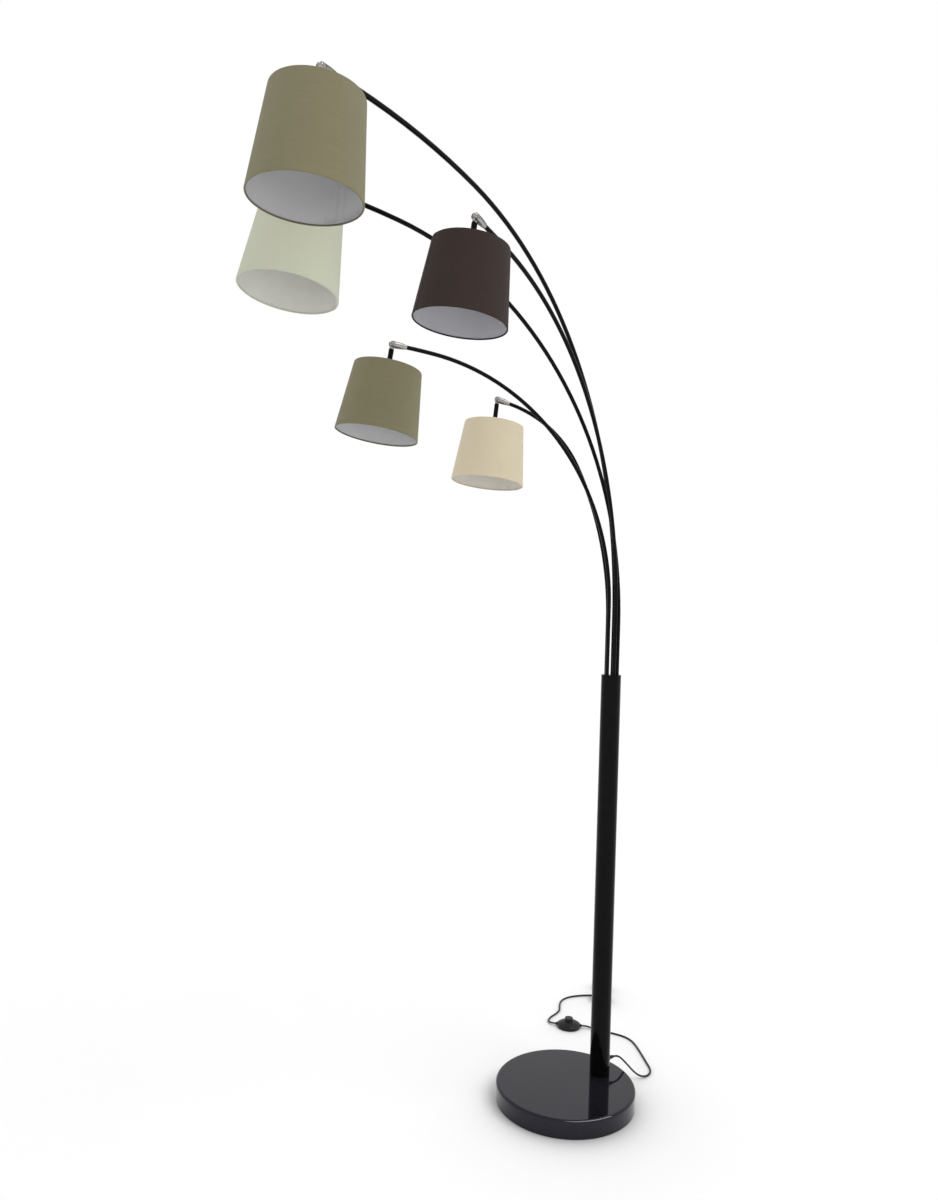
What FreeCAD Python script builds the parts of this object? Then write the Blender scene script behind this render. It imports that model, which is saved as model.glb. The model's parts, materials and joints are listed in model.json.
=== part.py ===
"""Multi-arm arc floor lamp: stone base, pole, swivelling arms with tilting shaded heads, corded foot switch.

Frame: millimetres, +Z up, origin on the floor under the middle of the base disc. The pole stands at +X and
the arms reach towards -X.
"""
import FreeCAD
import Part
import Sketcher

import math
import os
from types import SimpleNamespace

from FreeCAD import Placement, Rotation, Vector

# Driving sizes, in millimetres and degrees
SIZES = {
    # base and its fastening
    "base_diameter": 330,
    "base_thickness": 40,
    "base_edge_radius": 6,
    "pad_thickness": 2,
    "pad_inset": 6,
    "recess_diameter": 46,
    "recess_depth": 16,
    "washer_diameter": 40,
    "washer_thickness": 3,
    "bolt_diameter": 12,
    "bolt_hole_clearance": 0.5,
    "bolt_head_width": 19,
    "bolt_head_height": 8,
    "bolt_grip": 20,
    # pole
    "pole_offset": 100,
    "pole_diameter": 48,
    "pole_wall": 1.5,
    "pole_length": 965,
    "plug_clearance": 0.05,
    "foot_height": 24,
    "terminal_length": 30,
    "terminal_depth": 16,
    "terminal_height": 20,
    "terminal_bore": 4,
    "terminal_pitch": 10,
    # arm sockets in the pole top
    "holder_flange": 3,
    "holder_depth": 30,
    "socket_ring_radius": 14,
    "socket_ring_turn": -28.5,
    "socket_clearance": 0.05,
    "guide_drop": 126,
    "guide_ledge": 4,
    "guide_bearing": 10,
    "wire_hole": 5,
    # arm tube and its elbow
    "arm_diameter": 9,
    "arm_wall": 1,
    "arm_tail": 20,
    "elbow_length": 32,
    "elbow_mouth_diameter": 9.9,
    "elbow_shoulder": 18,
    "elbow_shoulder_diameter": 13.6,
    "elbow_root_diameter": 15,
    "knuckle_diameter": 15,
    "knuckle_width": 11.2,
    "elbow_bore_clearance": 0.02,
    "fork_gap": 5.4,
    "fork_depth": 10.5,
    "pivot_diameter": 4,
    "pivot_clearance": 0.05,
    "screw_head_diameter": 7.6,
    "screw_head_height": 1.2,
    "screw_seat_clearance": 0.3,
    # stem
    "eye_diameter": 12,
    "eye_thickness": 5,
    "neck_width": 9,
    "collar_drop": 12,
    "collar_height": 4,
    "collar_diameter": 11.2,
    "stem_diameter": 11,
    "stem_wall": 1,
    # lampholder and bulb
    "holder_cap_diameter": 34,
    "holder_cap_height": 3,
    "holder_diameter": 28,
    "holder_length": 39,
    "holder_bore": 24,
    "holder_bore_depth": 34,
    "nut_diameter": 36,
    "nut_height": 4,
    "nut_clearance": 0.05,
    "bulb_diameter": 45,
    "bulb_neck_diameter": 22,
    "bulb_reach": 52,
    "bulb_cap_clearance": 0.5,
    "bulb_wall": 1,
    # shade and its wire carrier
    "shade_rise": 3,
    "shade_bottom_diameter": 176,
    "shade_top_diameter": 144,
    "shade_wall": 1.5,
    "hem_height": 6,
    "hem_thickness": 0.5,
    "hub_diameter": 36,
    "hub_height": 2,
    "hub_clearance": 0.1,
    "carrier_wire": 3,
    "carrier_clearance": 0.15,
    # foot switch
    "switch_diameter": 64,
    "switch_base_height": 8,
    "switch_dome_height": 11,
    "switch_wall": 2,
    "switch_axis_height": 6,
    "switch_stub_diameter": 8,
    "switch_stub_reach": 35,
    "button_diameter": 22,
    "button_height": 25,
    "button_flange_diameter": 28,
    "button_flange_height": 1.5,
    "button_flange_top": 14.6,
    "button_clearance": 0.4,
    # cord, gland, coil and plug
    "cord_diameter": 4.5,
    "gland_height": 74,
    "gland_neck_diameter": 9.6,
    "gland_hole_clearance": 0.2,
    "gland_flange_diameter": 14,
    "gland_flange_height": 2.7,
    "gland_seat": 0.3,
    "gland_back": 7,
    "gland_reach": 16,
    "gland_tip_diameter": 6.6,
    "coil_middle_diameter": 45,
    "coil_turn_step": 5,
    "coil_layer_step": 5.2,
    "coil_turns_per_layer": 1.486,
    "coil_lift": 1,
    "tie_width": 8,
    "tie_thickness": 0.8,
    "tie_clearance": 0.7,
    "plug_tail_diameter": 6.4,
    "plug_tail_length": 15,
    "plug_shoulder": 10,
    "plug_length": 46,
    "pin_diameter": 4.8,
    "pin_length": 19,
    "pin_spacing": 19,
}

# Each arm's compass turn from -X towards -Y, its straight rise above the pole, radius and angle of its
# lower and of its upper bend, lean of the hanging head towards +X and towards +Y, length of the head's
# stem from the pivot to the lampholder, and height of its shade
ARM_SIZES = (
    "turn", "rise", "lower_radius", "lower_angle", "upper_radius", "upper_angle",
    "lean", "sway", "stem_length", "shade_height",
)
ARMS = {
    "arm_1": (28.87, 138.7, 796.4, 81.71, 1627, 13.52, 4.7, -1.4, 44, 155),
    "arm_2": (15.31, 122.4, 763.6, 86.64, 1919, 5.18, 8.8, 1.5, 58, 145),
    "arm_3": (28.75, 146.4, 710.7, 78.07, 2115, 2.12, 6.4, -2, 55, 145),
    "arm_4": (0.83, 164.4, 536.2, 85.53, 1741, 2.18, 8.4, -1.2, 55, 145),
    "arm_5": (-30.62, 130.9, 864.7, 25.47, 290.2, 46.1, 6.5, 0.6, 66, 145),
}
# Place of each arm's socket in the ring, counted round the pole
ARM_SOCKETS = {"arm_1": 1, "arm_2": 0, "arm_3": 4, "arm_4": 3, "arm_5": 2}
SOCKET_COUNT = 5
for arm, numbers in ARMS.items():
    for name, number in zip(ARM_SIZES, numbers):
        SIZES[f"{arm}_{name}"] = number

# Cord routes chosen by hand, in millimetres. The lead runs from the gland to the switch
LEAD_ROUTE = [
    (140, 0, 74), (149, 0, 74), (161, 0, 68.5), (174, 0.5, 56), (190, 1.5, 39.5), (206, 2, 22.5),
    (221, 1, 10), (236, -1, 3.8), (253, 1, 2.3), (270, 12, 2.3), (281, 29, 2.3), (290, 52, 2.3),
    (304, 86, 2.3), (319, 124, 2.3), (331, 160, 2.3), (330, 190, 2.3), (315, 217, 2.3), (297, 240, 2.3),
    (281.5, 261, 3.2), (266, 281, 6), (254, 290, 6),
]
# The tail runs from the switch to the coil, whose own start is its last point
TAIL_ROUTE = [
    (198, 332, 6), (191.6, 336.8, 6), (187.4, 346, 4.8), (189.5, 357.5, 3.4), (197.5, 368.5, 2.3),
    (211, 378.5, 2.3), (229, 386, 2.3), (246.5, 395, 2.3), (261, 407, 2.3), (272, 424, 2.3), (286, 443, 2.3),
    (303, 458, 2.3), (326, 466, 2.3), (351, 465, 2.6), (376, 458, 3.25), (399, 448.5, 3.25),
]
SWITCH_CENTRE = (226, 311)
SWITCH_HEADING = 143.13
COIL_CENTRE = (414, 412)
COIL_START_ANGLE = 60
PLUG_HEADING = 52.6
TIE_ANGLE = -120
TIGHTEST_BEND_DIAMETERS = 3
LEAST_COIL_GAP = 0.4
COIL_SAMPLE_SPACING = 1.5
STATION_DIGITS = 9

doc = FreeCAD.newDocument("ArcFloorLamp")
sheet = doc.addObject("Spreadsheet::Sheet", "Sizes")
for row, (name, number) in enumerate(SIZES.items(), 1):
    sheet.set(f"A{row}", name)
    sheet.set(f"B{row}", str(number))
    sheet.setAlias(f"B{row}", name)
doc.recompute()

pieces = []


class Size:
    """A number worked out from the sheet, with the expression that gives it there."""

    def __init__(self, number, text):
        self.number = number
        self.text = text

    def __float__(self):
        return float(self.number)

    def __add__(self, other):
        other = as_size(other)
        return Size(self.number + other.number, f"({self.text} + {other.text})")

    def __sub__(self, other):
        other = as_size(other)
        return Size(self.number - other.number, f"({self.text} - {other.text})")

    def __mul__(self, other):
        other = as_size(other)
        return Size(self.number * other.number, f"({self.text} * {other.text})")

    def __truediv__(self, other):
        other = as_size(other)
        return Size(self.number / other.number, f"({self.text} / {other.text})")

    def __neg__(self):
        return as_size(0) - self


def as_size(number):
    return number if isinstance(number, Size) else Size(float(number), repr(float(number)))


d = SimpleNamespace(**{name: Size(float(sheet.get(name)), f"Sizes.{name}") for name in SIZES})


def bind(thing, prop, number):
    thing.setExpression(prop, as_size(number).text)


def keep(thing, label, placement=None):
    """Marks a document object as a sub-part under its own label."""
    thing.Label = label
    if placement is not None:
        thing.Placement = placement
    pieces.append(thing)
    return thing


def origin_plane(body, role):
    return next(plane for plane in body.Origin.OriginFeatures if plane.Role == role)


def sketch_on(body, role, name):
    sketch = body.newObject("Sketcher::SketchObject", name)
    sketch.AttachmentSupport = (origin_plane(body, role), [""])
    sketch.MapMode = "FlatFace"
    return sketch


def measure(sketch, kind, *ends_and_size):
    """Adds a dimension to a sketch and ties it to the sheet."""
    *ends, number = ends_and_size
    number = as_size(number)
    index = sketch.addConstraint(Sketcher.Constraint(kind, *ends, float(number)))
    sketch.setExpression(f"Constraints[{index}]", number.text)


def turned(name, outline):
    """Body of revolution about Z from corners (radius, height)."""
    body = doc.addObject("PartDesign::Body", name)
    sketch = sketch_on(body, "XZ_Plane", f"{name}_outline")
    corners = [Vector(float(radius), float(height), 0) for radius, height in outline]
    count = len(corners)
    for index in range(count):
        sketch.addGeometry(Part.LineSegment(corners[index], corners[(index + 1) % count]), False)
    for index in range(count):
        sketch.addConstraint(Sketcher.Constraint("Coincident", index, 2, (index + 1) % count, 1))
    for index, (radius, height) in enumerate(outline):
        if float(radius) == 0:
            sketch.addConstraint(Sketcher.Constraint("PointOnObject", index, 1, -2))
        else:
            measure(sketch, "DistanceX", -1, 1, index, 1, radius)
        if float(height) == 0:
            sketch.addConstraint(Sketcher.Constraint("PointOnObject", index, 1, -1))
        else:
            measure(sketch, "DistanceY", -1, 1, index, 1, height)
    turn = body.newObject("PartDesign::Revolution", f"{name}_turn")
    turn.Profile = sketch
    turn.ReferenceAxis = (sketch, ["V_Axis"])
    turn.Angle = 360
    return body


ALONG = {
    "X": Rotation(Vector(0, 1, 0), 90),
    "Y": Rotation(Vector(1, 0, 0), -90),
    "Z": Rotation(),
}


def place(thing, at, rotation=Rotation()):
    thing.Placement = Placement(Vector(), rotation)
    for axis, number in zip("xyz", at):
        bind(thing, f"Placement.Base.{axis}", number)
    return thing


def cylinder(name, diameter, length, at=(0, 0, 0), along="Z"):
    rod = doc.addObject("Part::Cylinder", name)
    bind(rod, "Radius", as_size(diameter) / 2)
    bind(rod, "Height", length)
    return place(rod, at, ALONG[along])


def box(name, size, at):
    block = doc.addObject("Part::Box", name)
    for prop, number in zip(("Length", "Width", "Height"), size):
        bind(block, prop, number)
    return place(block, at)


def sphere(name, diameter, at):
    ball = doc.addObject("Part::Sphere", name)
    bind(ball, "Radius", as_size(diameter) / 2)
    return place(ball, at)


def fuse(name, *shapes):
    whole = doc.addObject("Part::MultiFuse", name)
    whole.Shapes = list(shapes)
    whole.Refine = True
    return whole


def cut(name, base, *tools):
    result = doc.addObject("Part::Cut", name)
    result.Base = base
    result.Tool = tools[0] if len(tools) == 1 else fuse(f"{name}_tools", *tools)
    result.Refine = True
    return result


def common(name, *shapes):
    result = doc.addObject("Part::MultiCommon", name)
    result.Shapes = list(shapes)
    return result


def at_pole(height=0.0):
    return Placement(Vector(float(d.pole_offset), 0, float(height)), Rotation())


# Heights that several pieces share
base_top = d.pad_thickness + d.base_thickness
pole_top = base_top + d.pole_length
sockets_top = pole_top + d.holder_flange
arm_foot = sockets_top - d.guide_drop
pole_bore = d.pole_diameter - d.pole_wall * 2


def build_base():
    """Stone disc with a rounded edge, felt pad below it, and the bolt that holds the pole."""
    blank = turned("base_blank", [
        (0, d.pad_thickness),
        (d.base_diameter / 2, d.pad_thickness),
        (d.base_diameter / 2, base_top),
        (0, base_top),
    ])
    doc.recompute()
    rim = [
        f"Edge{index}" for index, edge in enumerate(blank.Shape.Edges, 1)
        if abs(edge.BoundBox.ZMin - float(base_top)) < 1e-6 and edge.BoundBox.ZLength < 1e-6
        and abs(edge.BoundBox.XLength - float(d.base_diameter)) < 1e-3
    ]
    turn = blank.Tip
    edge = blank.newObject("PartDesign::Fillet", "base_edge")
    edge.Base = (turn, rim)
    bind(edge, "Radius", d.base_edge_radius)
    blank.Tip = edge
    recess = cylinder("base_recess", d.recess_diameter, d.recess_depth, (d.pole_offset, 0, d.pad_thickness))
    hole = cylinder("base_hole", d.bolt_diameter + d.bolt_hole_clearance * 2, base_top, (d.pole_offset, 0, 0))
    keep(cut("base_disc", blank, recess, hole), "base_disc")

    felt = cylinder("felt_blank", d.base_diameter - d.pad_inset * 2, d.pad_thickness)
    felt_hole = cylinder("felt_hole", d.recess_diameter, d.pad_thickness, (d.pole_offset, 0, 0))
    keep(cut("base_pad", felt, felt_hole), "base_pad")

    washer_top = d.pad_thickness + d.recess_depth
    washer_low = washer_top - d.washer_thickness
    washer = cylinder("washer_blank", d.washer_diameter, d.washer_thickness, (d.pole_offset, 0, washer_low))
    bore = d.bolt_diameter + d.bolt_hole_clearance * 2
    washer_hole = cylinder("washer_hole", bore, d.washer_thickness, (d.pole_offset, 0, washer_low))
    keep(cut("base_washer", washer, washer_hole), "base_washer")

    reach = base_top - washer_low + d.bolt_grip
    shank = cylinder("bolt_shank", d.bolt_diameter, reach, (d.pole_offset, 0, washer_low))
    head = doc.addObject("Part::Prism", "bolt_head")
    head.Polygon = 6
    bind(head, "Circumradius", d.bolt_head_width / math.sqrt(3))
    bind(head, "Height", d.bolt_head_height)
    place(head, (d.pole_offset, 0, washer_low - d.bolt_head_height))
    keep(fuse("base_bolt", shank, head), "base_bolt")


def build_pole():
    """Tube with the cord's hole, the threaded foot that the bolt holds, and the terminal block on it."""
    tube = turned("pole_tube", [
        (pole_bore / 2, base_top),
        (d.pole_diameter / 2, base_top),
        (d.pole_diameter / 2, pole_top),
        (pole_bore / 2, pole_top),
    ])
    tube.Placement = at_pole()
    hole = cylinder(
        "pole_hole", d.gland_neck_diameter + d.gland_hole_clearance * 2, d.pole_diameter,
        (d.pole_offset, 0, d.gland_height), "X",
    )
    keep(cut("pole", tube, hole), "pole")

    foot = turned("pole_foot", [
        (d.bolt_diameter / 2 + d.plug_clearance, base_top),
        (pole_bore / 2 - d.plug_clearance, base_top),
        (pole_bore / 2 - d.plug_clearance, base_top + d.foot_height),
        (d.bolt_diameter / 2 + d.plug_clearance, base_top + d.foot_height),
    ])
    keep(foot, "pole_foot", at_pole())

    seat = base_top + d.foot_height
    size = (d.terminal_length, d.terminal_depth, d.terminal_height)
    corner = (d.pole_offset - d.terminal_length / 2, -d.terminal_depth / 2, seat)
    middle = seat + d.terminal_height / 2
    bores = [
        cylinder(
            f"terminal_bore_{index}", d.terminal_bore, d.terminal_depth,
            (d.pole_offset + d.terminal_pitch * (index - 1), -d.terminal_depth / 2, middle), "Y",
        )
        for index in range(3)
    ]
    keep(cut("terminal_block", box("terminal_blank", size, corner), *bores), "terminal_block")


def socket_angle(arm):
    return float(d.socket_ring_turn) + 360 / SOCKET_COUNT * ARM_SOCKETS[arm]


def socket_place(arm):
    """Middle of an arm's socket, seen from above, as sizes."""
    angle = math.radians(socket_angle(arm))
    return d.pole_offset + d.socket_ring_radius * math.cos(angle), d.socket_ring_radius * math.sin(angle)


def build_sockets():
    """Flanged plug in the pole top and the guide below it, each with a bearing for every arm."""
    bearing = d.arm_diameter + d.socket_clearance * 2
    plug = pole_bore / 2 - d.plug_clearance
    holder = turned("holder_blank", [
        (0, pole_top - d.holder_depth),
        (plug, pole_top - d.holder_depth),
        (plug, pole_top),
        (d.pole_diameter / 2, pole_top),
        (d.pole_diameter / 2, sockets_top),
        (0, sockets_top),
    ])
    holder.Placement = at_pole()
    holes = [
        cylinder(f"{arm}_holder_hole", bearing, d.holder_depth + d.holder_flange,
                 (*socket_place(arm), pole_top - d.holder_depth))
        for arm in ARMS
    ]
    keep(cut("arm_holder", holder, *holes), "arm_holder")

    low = arm_foot - d.guide_ledge
    guide = turned("guide_blank", [
        (0, low),
        (plug, low),
        (plug, arm_foot + d.guide_bearing),
        (0, arm_foot + d.guide_bearing),
    ])
    guide.Placement = at_pole()
    seats = [
        cylinder(f"{arm}_guide_seat", bearing, d.guide_bearing, (*socket_place(arm), arm_foot))
        for arm in ARMS
    ]
    wires = [
        cylinder(f"{arm}_wire_hole", d.wire_hole, d.guide_ledge, (*socket_place(arm), low))
        for arm in ARMS
    ]
    keep(cut("arm_guide", guide, *seats, *wires), "arm_guide")


def arm_size(arm, name):
    return getattr(d, f"{arm}_{name}")


def arm_frame(arm):
    """Placement of an arm's tube: it stands in its socket and bends towards its own +X."""
    x, y = socket_place(arm)
    turn = Rotation(Vector(0, 0, 1), 180 + float(arm_size(arm, "turn")))
    return Placement(Vector(float(x), float(y), float(arm_foot)), turn)


def arm_line(arm):
    """Centres of the two bends, their angles and the end of the upper one, in the arm's own XZ plane."""
    rise = float(d.guide_drop) + float(arm_size(arm, "rise"))
    lower = float(arm_size(arm, "lower_radius"))
    upper = float(arm_size(arm, "upper_radius"))
    first = math.radians(float(arm_size(arm, "lower_angle")))
    whole = first + math.radians(float(arm_size(arm, "upper_angle")))
    lower_centre = Vector(lower, rise, 0)
    joint = lower_centre + Vector(-math.cos(first), math.sin(first), 0) * lower
    upper_centre = joint + Vector(math.cos(first), -math.sin(first), 0) * upper
    end = upper_centre + Vector(-math.cos(whole), math.sin(whole), 0) * upper
    return SimpleNamespace(
        rise=rise, lower=lower, upper=upper, first=first, whole=whole,
        lower_centre=lower_centre, upper_centre=upper_centre, end=end,
    )


def head_frames(arm):
    """Placements of an arm's elbow (+X looks back along it), of the stem (tilts about Y) and of the lamp."""
    line = arm_line(arm)
    frame = arm_frame(arm)
    along = Vector(math.sin(line.whole), 0, math.cos(line.whole))
    pivot = frame.multVec(Vector(line.end.x, 0, line.end.y) + along * float(d.elbow_length))
    along = frame.Rotation.multVec(along)
    lean, sway = (math.tan(math.radians(float(arm_size(arm, name)))) for name in ("lean", "sway"))
    up = Vector(lean, sway, 1).normalize()
    hinge = along.cross(up).normalize()
    back = along * -1
    elbow = Placement(pivot, Rotation(back, hinge, back.cross(hinge), "XYZ"))
    turn = Rotation(hinge.cross(up), hinge, up, "ZYX")
    head = Placement(pivot, turn)
    lamp = Placement(pivot - up * float(arm_size(arm, "stem_length")), turn)
    print(f"{arm} pivot", [round(x, 3) for x in pivot], "hinge", [round(x, 6) for x in hinge])
    return elbow, head, lamp


def build_arm_tube(arm):
    """Hollow tube: straight rise, two tangent bends and the straight tail that the elbow holds."""
    line = arm_line(arm)
    body = doc.addObject("PartDesign::Body", f"{arm}_tube")
    spine = sketch_on(body, "XZ_Plane", f"{arm}_spine")
    up = Vector(0, 0, 1)
    tail = Vector(math.sin(line.whole), math.cos(line.whole), 0) * float(d.arm_tail)
    spine.addGeometry(Part.LineSegment(Vector(), Vector(0, line.rise, 0)), False)
    lower = Part.Circle(line.lower_centre, up, line.lower)
    spine.addGeometry(Part.ArcOfCircle(lower, math.pi - line.first, math.pi), False)
    upper = Part.Circle(line.upper_centre, up, line.upper)
    spine.addGeometry(Part.ArcOfCircle(upper, math.pi - line.whole, math.pi - line.first), False)
    spine.addGeometry(Part.LineSegment(line.end, line.end + tail), False)
    spine.addConstraint([
        Sketcher.Constraint("Coincident", 0, 1, -1, 1),
        Sketcher.Constraint("PointOnObject", 0, 2, -2),
        Sketcher.Constraint("Tangent", 0, 2, 1, 2),
        Sketcher.Constraint("Tangent", 1, 1, 2, 2),
        Sketcher.Constraint("Tangent", 2, 1, 3, 1),
    ])
    measure(spine, "Distance", 0, d.guide_drop + arm_size(arm, "rise"))
    measure(spine, "Radius", 1, arm_size(arm, "lower_radius"))
    measure(spine, "Radius", 2, arm_size(arm, "upper_radius"))
    for bend, name in ((1, "lower_angle"), (2, "upper_angle")):
        angle = arm_size(arm, name)
        index = spine.addConstraint(Sketcher.Constraint("Angle", bend, math.radians(float(angle))))
        spine.setExpression(f"Constraints[{index}]", f"{angle.text} * 1 deg")
    measure(spine, "Distance", 3, d.arm_tail)

    section = sketch_on(body, "XY_Plane", f"{arm}_section")
    for index, diameter in enumerate((d.arm_diameter, d.arm_diameter - d.arm_wall * 2)):
        section.addGeometry(Part.Circle(Vector(), up, float(diameter) / 2), False)
        section.addConstraint(Sketcher.Constraint("Coincident", index, 3, -1, 1))
        measure(section, "Diameter", index, diameter)
    doc.recompute()
    pipe = body.newObject("PartDesign::AdditivePipe", f"{arm}_pipe")
    pipe.Profile = section
    pipe.Spine = (spine, [f"Edge{index + 1}" for index in range(4)])
    keep(body, f"{arm}_tube", arm_frame(arm))


def build_elbow(arm, frame):
    """Sleeve that narrows to the arm and closes in a slotted ball, and the pivot screw through the ball."""
    sleeve = turned(f"{arm}_sleeve", [
        (0, 0),
        (d.elbow_root_diameter / 2, 0),
        (d.elbow_shoulder_diameter / 2, d.elbow_shoulder),
        (d.elbow_mouth_diameter / 2, d.elbow_length),
        (0, d.elbow_length),
    ])
    place(sleeve, (0, 0, 0), ALONG["X"])
    knuckle = sphere(f"{arm}_knuckle", d.knuckle_diameter, (0, 0, 0))
    bore = cylinder(
        f"{arm}_bore", d.arm_diameter + d.elbow_bore_clearance * 2, d.arm_tail,
        (d.elbow_length - d.arm_tail, 0, 0), "X",
    )
    slot = box(
        f"{arm}_slot", (d.fork_depth + d.knuckle_diameter, d.fork_gap, d.knuckle_diameter * 2),
        (-d.knuckle_diameter, -d.fork_gap / 2, -d.knuckle_diameter),
    )
    pin_hole = cylinder(
        f"{arm}_pin_hole", d.pivot_diameter + d.pivot_clearance * 2, d.knuckle_width * 2,
        (0, -d.knuckle_width, 0), "Y",
    )
    seat_diameter = d.screw_head_diameter + d.screw_seat_clearance * 2
    seat_depth = d.knuckle_diameter / 2
    seats = [
        cylinder(f"{arm}_screw_seat_{index}", seat_diameter, seat_depth, (0, start, 0), "Y")
        for index, start in enumerate((d.knuckle_width / 2, -d.knuckle_width / 2 - seat_depth))
    ]
    blank = fuse(f"{arm}_elbow_blank", sleeve, knuckle)
    keep(cut(f"{arm}_elbow", blank, bore, slot, pin_hole, *seats), f"{arm}_elbow", frame)

    shank = cylinder(f"{arm}_shank", d.pivot_diameter, d.knuckle_width, (0, -d.knuckle_width / 2, 0), "Y")
    heads = [
        cylinder(f"{arm}_screw_end_{index}", d.screw_head_diameter, d.screw_head_height, (0, start, 0), "Y")
        for index, start in enumerate((d.knuckle_width / 2, -d.knuckle_width / 2 - d.screw_head_height))
    ]
    keep(fuse(f"{arm}_pivot_screw", shank, *heads), f"{arm}_pivot_screw", frame)


def build_stem(head, frame, length):
    """Eye between the fork's cheeks, neck, collar and the tube that carries the lampholder."""
    eye = cylinder(f"{head}_eye", d.eye_diameter, d.eye_thickness, (0, -d.eye_thickness / 2, 0), "Y")
    neck = box(
        f"{head}_neck", (d.neck_width, d.eye_thickness, d.collar_drop + d.collar_height / 2),
        (-d.neck_width / 2, -d.eye_thickness / 2, -d.collar_drop - d.collar_height / 2),
    )
    collar = cylinder(
        f"{head}_collar", d.collar_diameter, d.collar_height, (0, 0, -d.collar_drop - d.collar_height),
    )
    pipe_length = length - d.collar_drop - d.collar_height
    pipe = cylinder(f"{head}_pipe", d.stem_diameter, pipe_length, (0, 0, -length))
    pipe_bore = cylinder(f"{head}_pipe_bore", d.stem_diameter - d.stem_wall * 2, pipe_length, (0, 0, -length))
    pin_hole = cylinder(
        f"{head}_pin_hole", d.pivot_diameter + d.pivot_clearance * 2, d.eye_thickness * 2,
        (0, -d.eye_thickness, 0), "Y",
    )
    solid = fuse(f"{head}_stem_blank", eye, neck, collar, pipe)
    keep(cut(f"{head}_stem", solid, pipe_bore, pin_hole), f"{head}_stem", frame)


# Heights of the lamp, from the stem's lower end
hub_top = -d.holder_cap_height
hub_low = hub_top - d.hub_height
holder_mouth = hub_top - d.holder_length
bore_top = holder_mouth + d.holder_bore_depth
bulb_low = holder_mouth - d.bulb_reach


def build_lampholder(head, frame):
    """Lampholder with its bore for the bulb, and the ring nut that clamps the carrier's hub to its cap."""
    body = turned(f"{head}_holder_body", [
        (0, 0),
        (0, bore_top),
        (d.holder_bore / 2, bore_top),
        (d.holder_bore / 2, holder_mouth),
        (d.holder_diameter / 2, holder_mouth),
        (d.holder_diameter / 2, hub_top),
        (d.holder_cap_diameter / 2, hub_top),
        (d.holder_cap_diameter / 2, 0),
    ])
    nut = turned(f"{head}_ring_nut", [
        (d.holder_diameter / 2 + d.nut_clearance, hub_low - d.nut_height),
        (d.nut_diameter / 2, hub_low - d.nut_height),
        (d.nut_diameter / 2, hub_low),
        (d.holder_diameter / 2 + d.nut_clearance, hub_low),
    ])
    keep(fuse(f"{head}_lampholder", body, nut), f"{head}_lampholder", frame)


def build_bulb(head, frame):
    """Hollow round bulb whose cap stands in the lampholder's bore."""
    cap = d.holder_bore - d.bulb_cap_clearance * 2
    middle = bulb_low + d.bulb_diameter / 2
    neck_length = bore_top - middle
    shells = []
    for name, wall in (("glass", as_size(0)), ("hollow", d.bulb_wall)):
        ball = sphere(f"{head}_{name}_ball", d.bulb_diameter - wall * 2, (0, 0, middle))
        neck_diameter = d.bulb_neck_diameter - wall * 2
        neck = cylinder(f"{head}_{name}_neck", neck_diameter, neck_length - wall, (0, 0, middle))
        parts = [ball, neck]
        if name == "glass":
            cap_length = bore_top - holder_mouth
            parts.append(cylinder(f"{head}_cap", cap, cap_length, (0, 0, holder_mouth)))
        shells.append(fuse(f"{head}_{name}", *parts))
    keep(cut(f"{head}_bulb", *shells), f"{head}_bulb", frame)


def shade_radius(tall, height):
    """Outer radius, at a height of the lamp, of a shade that is so tall."""
    spread = (d.shade_bottom_diameter - d.shade_top_diameter) / 2
    return d.shade_top_diameter / 2 + (d.shade_rise - height) * spread / tall


def build_shade(head, frame, tall):
    """Tapered fabric drum with a thicker hem round each rim."""
    top = d.shade_rise
    low = top - tall
    low_hem = low + d.hem_height
    high_hem = top - d.hem_height
    shade = turned(f"{head}_shade", [
        (shade_radius(tall, low) - d.shade_wall, low),
        (shade_radius(tall, low) + d.hem_thickness, low),
        (shade_radius(tall, low_hem) + d.hem_thickness, low_hem),
        (shade_radius(tall, low_hem), low_hem),
        (shade_radius(tall, high_hem), high_hem),
        (shade_radius(tall, high_hem) + d.hem_thickness, high_hem),
        (shade_radius(tall, top) + d.hem_thickness, top),
        (shade_radius(tall, top) - d.shade_wall, top),
    ])
    keep(shade, f"{head}_shade", frame)


SPOKES = 3


def build_carrier(head, frame, tall):
    """Wire ring inside the shade's upper rim, three spokes and the hub on the lampholder."""
    height = hub_top - d.hub_height / 2
    inside = shade_radius(tall, height + d.carrier_wire / 2) - d.shade_wall
    ring_radius = inside - d.carrier_clearance - d.carrier_wire / 2
    ring = doc.addObject("Part::Torus", f"{head}_ring")
    bind(ring, "Radius1", ring_radius)
    bind(ring, "Radius2", d.carrier_wire / 2)
    place(ring, (0, 0, height))
    hub = turned(f"{head}_hub", [
        (d.holder_diameter / 2 + d.hub_clearance, hub_low),
        (d.hub_diameter / 2, hub_low),
        (d.hub_diameter / 2, hub_top),
        (d.holder_diameter / 2 + d.hub_clearance, hub_top),
    ])
    inner = d.hub_diameter / 2 - d.hub_height / 2
    spokes = []
    for index in range(SPOKES):
        spoke = doc.addObject("Part::Cylinder", f"{head}_spoke_{index}")
        bind(spoke, "Radius", d.hub_height / 2)
        bind(spoke, "Height", ring_radius - inner)
        angle = 360 / SPOKES * index
        cosine, sine = math.cos(math.radians(angle)), math.sin(math.radians(angle))
        place(spoke, (inner * cosine, inner * sine, height), Rotation(Vector(0, 0, 1), angle) * ALONG["X"])
        spokes.append(spoke)
    keep(fuse(f"{head}_shade_carrier", hub, ring, *spokes), f"{head}_shade_carrier", frame)


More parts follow.
